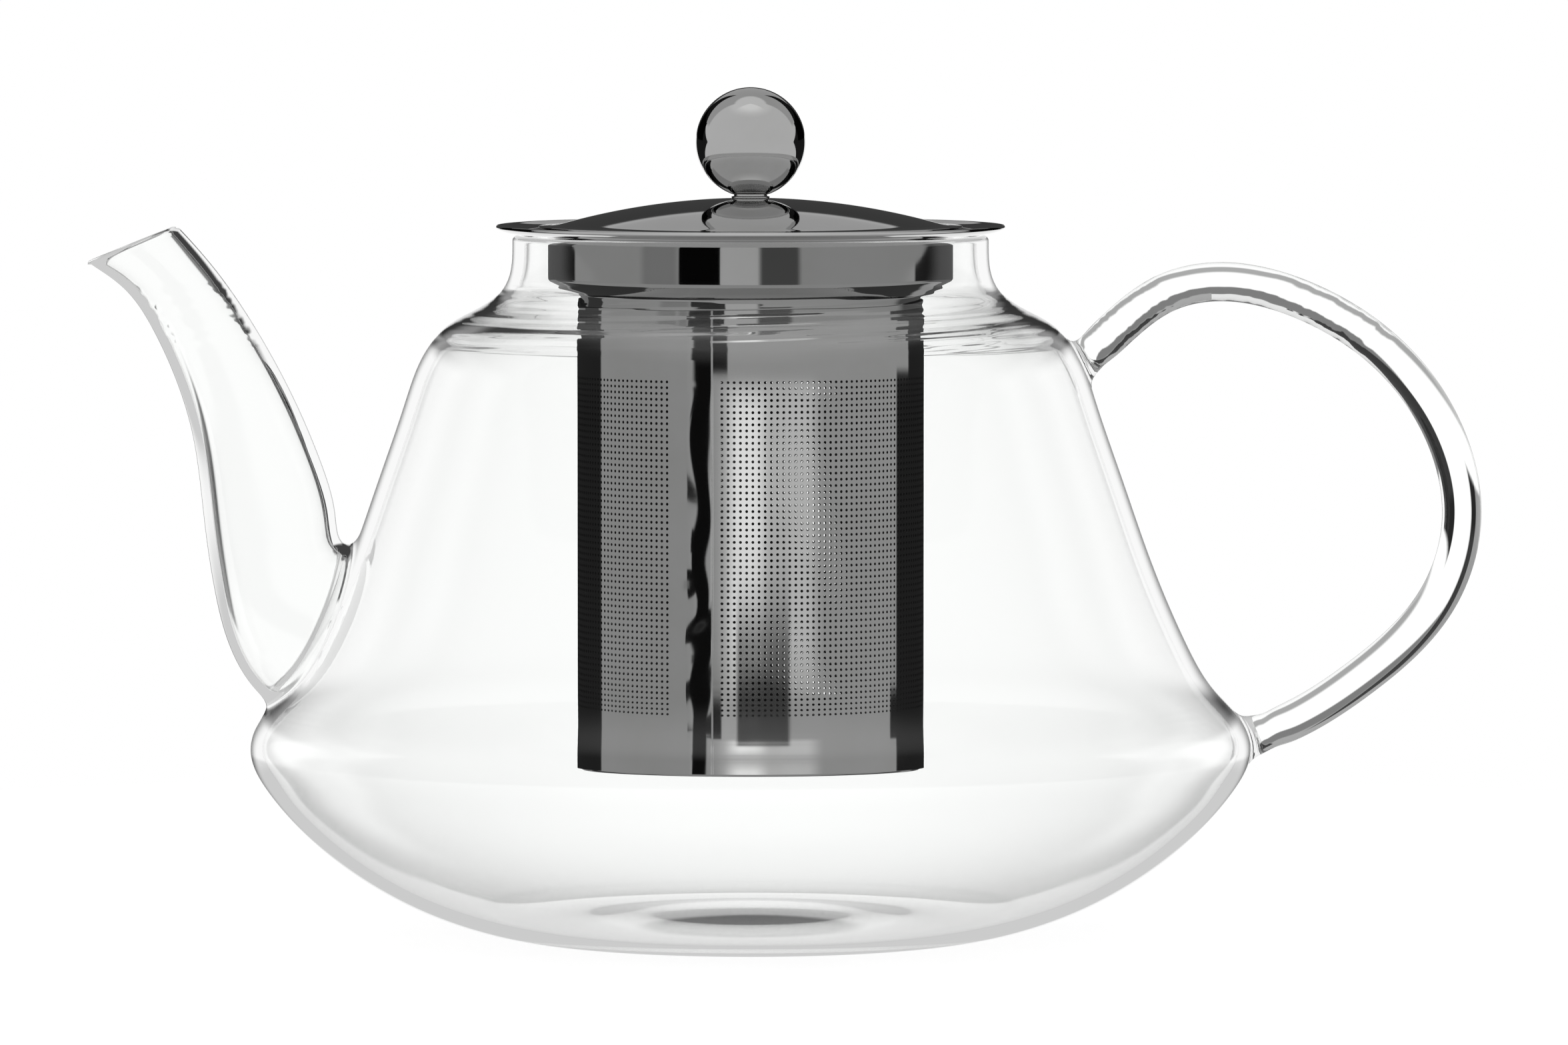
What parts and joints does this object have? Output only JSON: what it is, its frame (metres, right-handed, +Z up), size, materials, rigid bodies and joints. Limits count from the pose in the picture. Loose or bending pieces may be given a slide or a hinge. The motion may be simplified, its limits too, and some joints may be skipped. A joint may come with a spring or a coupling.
{
  "type": "glass teapot with steel infuser",
  "caption": "Clear glass teapot with a flared bowl, curved spout and rod loop handle, a perforated steel infuser that lifts out of the neck, and a domed steel lid with a ball knob",
  "frame": {"origin": "centre of the pot's foot, on the surface it stands on", "axes": "+Z up along the axis of body, infuser and lid; the spout points along -X and the handle along +X; +Y is away from the side that is seen first"},
  "size_m": [0.2296, 0.1652, 0.1402],
  "materials": {
    "glass": "clear, fire-polished",
    "polished_steel": "mirror-polished stainless steel",
    "screen_steel": "polished perforated stainless sheet",
    "brushed_steel": "fine brushed",
    "turned_steel": "turned, satin"
  },
  "bodies": {
    "pot": {"pot_bowl": "glass", "pot_flank": "glass", "pot_neck": "glass", "spout": "glass", "handle": "glass"},
    "infuser": {"infuser_collar": "polished_steel", "infuser_screen": "screen_steel", "infuser_base": "polished_steel"},
    "lid": {"lid_dome": "polished_steel", "lid_skirt": "brushed_steel", "knob_ball": "polished_steel", "knob_insert": "turned_steel", "knob_washer": "turned_steel", "knob_spring_washer": "turned_steel", "knob_screw": "turned_steel"}
  },
  "joints": [
    {"name": "infuser_lift", "type": "slide", "parent": "pot", "child": "infuser", "axis": [0, 0, 1], "range_m": [0, 0.11]},
    {"name": "lid_lift", "type": "slide", "parent": "infuser", "child": "lid", "axis": [0, 0, 1], "range_m": [0, 0.04]}
  ]
}
